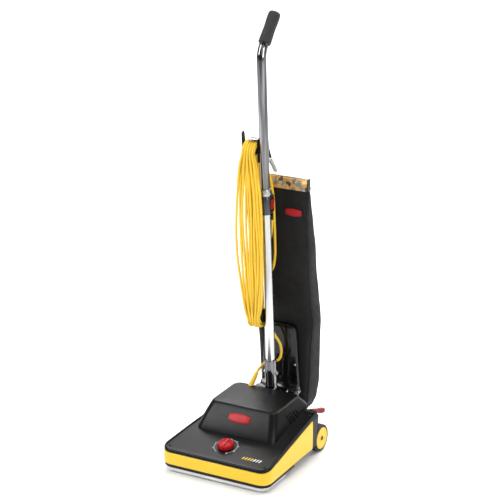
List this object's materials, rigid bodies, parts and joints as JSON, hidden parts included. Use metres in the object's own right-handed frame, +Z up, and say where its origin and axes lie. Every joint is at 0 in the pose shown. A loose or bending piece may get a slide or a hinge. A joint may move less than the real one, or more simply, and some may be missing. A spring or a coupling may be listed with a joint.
{
  "type": "upright vacuum cleaner",
  "caption": "Upright vacuum cleaner with a sloping nozzle, a reclining tube handle, a cord wound on two hooks and a hanging cloth dust bag.",
  "frame": {"origin": "on the floor, under the middle of the machine's outline", "axes": "+Z up, -Y forwards from the handle to the nozzle, +X towards the side with the foot pedal"},
  "size_m": [0.335, 0.4896, 1.2362],
  "materials": {
    "yellow_plastic": "moulded yellow, satin gloss",
    "yellow_cord": "yellow vinyl cord jacket",
    "black_plastic": "moulded black with a fine satin grain",
    "black_metal": "black powder paint",
    "gloss_black": "high gloss black",
    "rubber": "matt black rubber",
    "tyre": "black rubber tyre",
    "bag_fabric": "black woven twill",
    "paper": "filter paper",
    "red_plastic": "red moulding",
    "dark_red_plastic": "dark red moulding",
    "chrome": "polished chrome plate",
    "steel": "zinc plated or brushed steel",
    "grey_plastic": "dark grey moulding",
    "copper": "copper windings and commutator",
    "wood": "turned beech"
  },
  "bodies": {
    "base": {"base_housing": "black_plastic", "top_deck": "black_metal", "bumper": "yellow_plastic", "bottom_plate": "steel", "motor_cover": "black_metal", "lead_relief": "yellow_cord", "motor_stator": "steel", "motor_end_bell": "grey_plastic", "motor_bearing_left": "steel", "motor_bearing_right": "steel", "carbon_brush_upper": "grey_plastic", "carbon_brush_lower": "grey_plastic", "fan_housing": "grey_plastic", "outlet_pipe": "black_plastic", "drive_belt": "rubber", "brush_bearing_left": "steel", "brush_bearing_right": "steel", "rear_axle": "steel", "pivot_pin_left": "steel", "pivot_pin_right": "steel"},
    "handle": {"handle_socket": "chrome", "socket_bolt": "steel", "lower_tube": "chrome", "switch_housing": "grey_plastic", "tube_collar": "steel", "upper_tube": "chrome", "grip": "rubber", "upper_hook_saddle": "chrome", "upper_hook_finger": "black_plastic", "lower_hook": "black_plastic", "cord_hank": "yellow_cord", "cord_relief": "black_plastic", "cord_start": "yellow_cord", "cord_tail": "yellow_cord", "cord_plug": "black_plastic", "power_lead": "yellow_cord", "dust_bag": "bag_fabric", "filter_bag": "paper", "bag_top_clip": "steel", "bag_spring": "steel", "spring_bracket": "black_plastic", "exhaust_duct": "gloss_black", "exhaust_boot": "rubber"},
    "rocker_switch": {"rocker_switch": "red_plastic"},
    "duct_clip": {"duct_clip": "steel"},
    "wheel_left": {"tyre_left": "tyre", "hub_left": "yellow_plastic"},
    "wheel_right": {"tyre_right": "tyre", "hub_right": "yellow_plastic"},
    "brush_roll": {"brush_core": "wood", "bristle_row_front": "rubber", "bristle_row_rear": "rubber"},
    "motor_rotor": {"motor_shaft": "steel", "armature": "copper", "fan": "steel"},
    "height_knob": {"height_knob": "red_plastic"},
    "front_carriage": {"front_carriage": "steel"},
    "roller_left": {"front_roller_left": "rubber"},
    "roller_right": {"front_roller_right": "rubber"},
    "foot_pedal": {"foot_pedal": "dark_red_plastic"}
  },
  "joints": [
    {"name": "handle_recline", "type": "hinge", "parent": "base", "child": "handle", "pos_m": [0, 0.0878, 0.105], "axis": [-1, 0, 0], "range_deg": [0, 68], "deforming": ["dust_bag", "filter_bag", "exhaust_boot", "power_lead"]},
    {"name": "rocker_press", "type": "hinge", "parent": "handle", "child": "rocker_switch", "pos_m": [0.015, 0.05462, 0.71112], "axis": [0, -0.9979, -0.0645], "range_deg": [0, 12]},
    {"name": "clip_swing", "type": "hinge", "parent": "handle", "child": "duct_clip", "pos_m": [0.0614, 0.148, 0.1465], "axis": [0, 0, 1], "range_deg": [0, 70]},
    {"name": "wheel_left_spin", "type": "hinge", "parent": "base", "child": "wheel_left", "pos_m": [-0.15, 0.087, 0.039], "axis": [1, 0, 0], "continuous": true},
    {"name": "wheel_right_spin", "type": "hinge", "parent": "base", "child": "wheel_right", "pos_m": [0.15, 0.087, 0.039], "axis": [1, 0, 0], "continuous": true},
    {"name": "motor_spin", "type": "hinge", "parent": "base", "child": "motor_rotor", "pos_m": [0, -0.025, 0.098], "axis": [1, 0, 0], "continuous": true},
    {"name": "brush_spin", "type": "hinge", "parent": "base", "child": "brush_roll", "pos_m": [0, -0.195, 0.03], "axis": [1, 0, 0], "continuous": true},
    {"name": "knob_turn", "type": "hinge", "parent": "base", "child": "height_knob", "pos_m": [0, -0.173, 0.08026], "axis": [0, -0.2164, 0.9763], "range_deg": [0, 300]},
    {"name": "carriage_lift", "type": "slide", "parent": "base", "child": "front_carriage", "axis": [0, 0, -1], "range_m": [0, 0.01]},
    {"name": "roller_left_spin", "type": "hinge", "parent": "front_carriage", "child": "roller_left", "pos_m": [-0.088, -0.0975, 0.0125], "axis": [1, 0, 0], "continuous": true},
    {"name": "roller_right_spin", "type": "hinge", "parent": "front_carriage", "child": "roller_right", "pos_m": [0.088, -0.0975, 0.0125], "axis": [1, 0, 0], "continuous": true},
    {"name": "pedal_press", "type": "hinge", "parent": "base", "child": "foot_pedal", "pos_m": [0.126, 0.072, 0.112], "axis": [-1, 0, 0], "range_deg": [0, 15], "stiffness_Nm_per_rad": 1.5, "springref_deg": -11.46}
  ],
  "couplings": [
    {"joint": "brush_spin", "follows": "motor_spin", "ratio": 0.5608},
    {"joint": "knob_turn", "follows": "carriage_lift", "rad_per_m": 523.6}
  ]
}
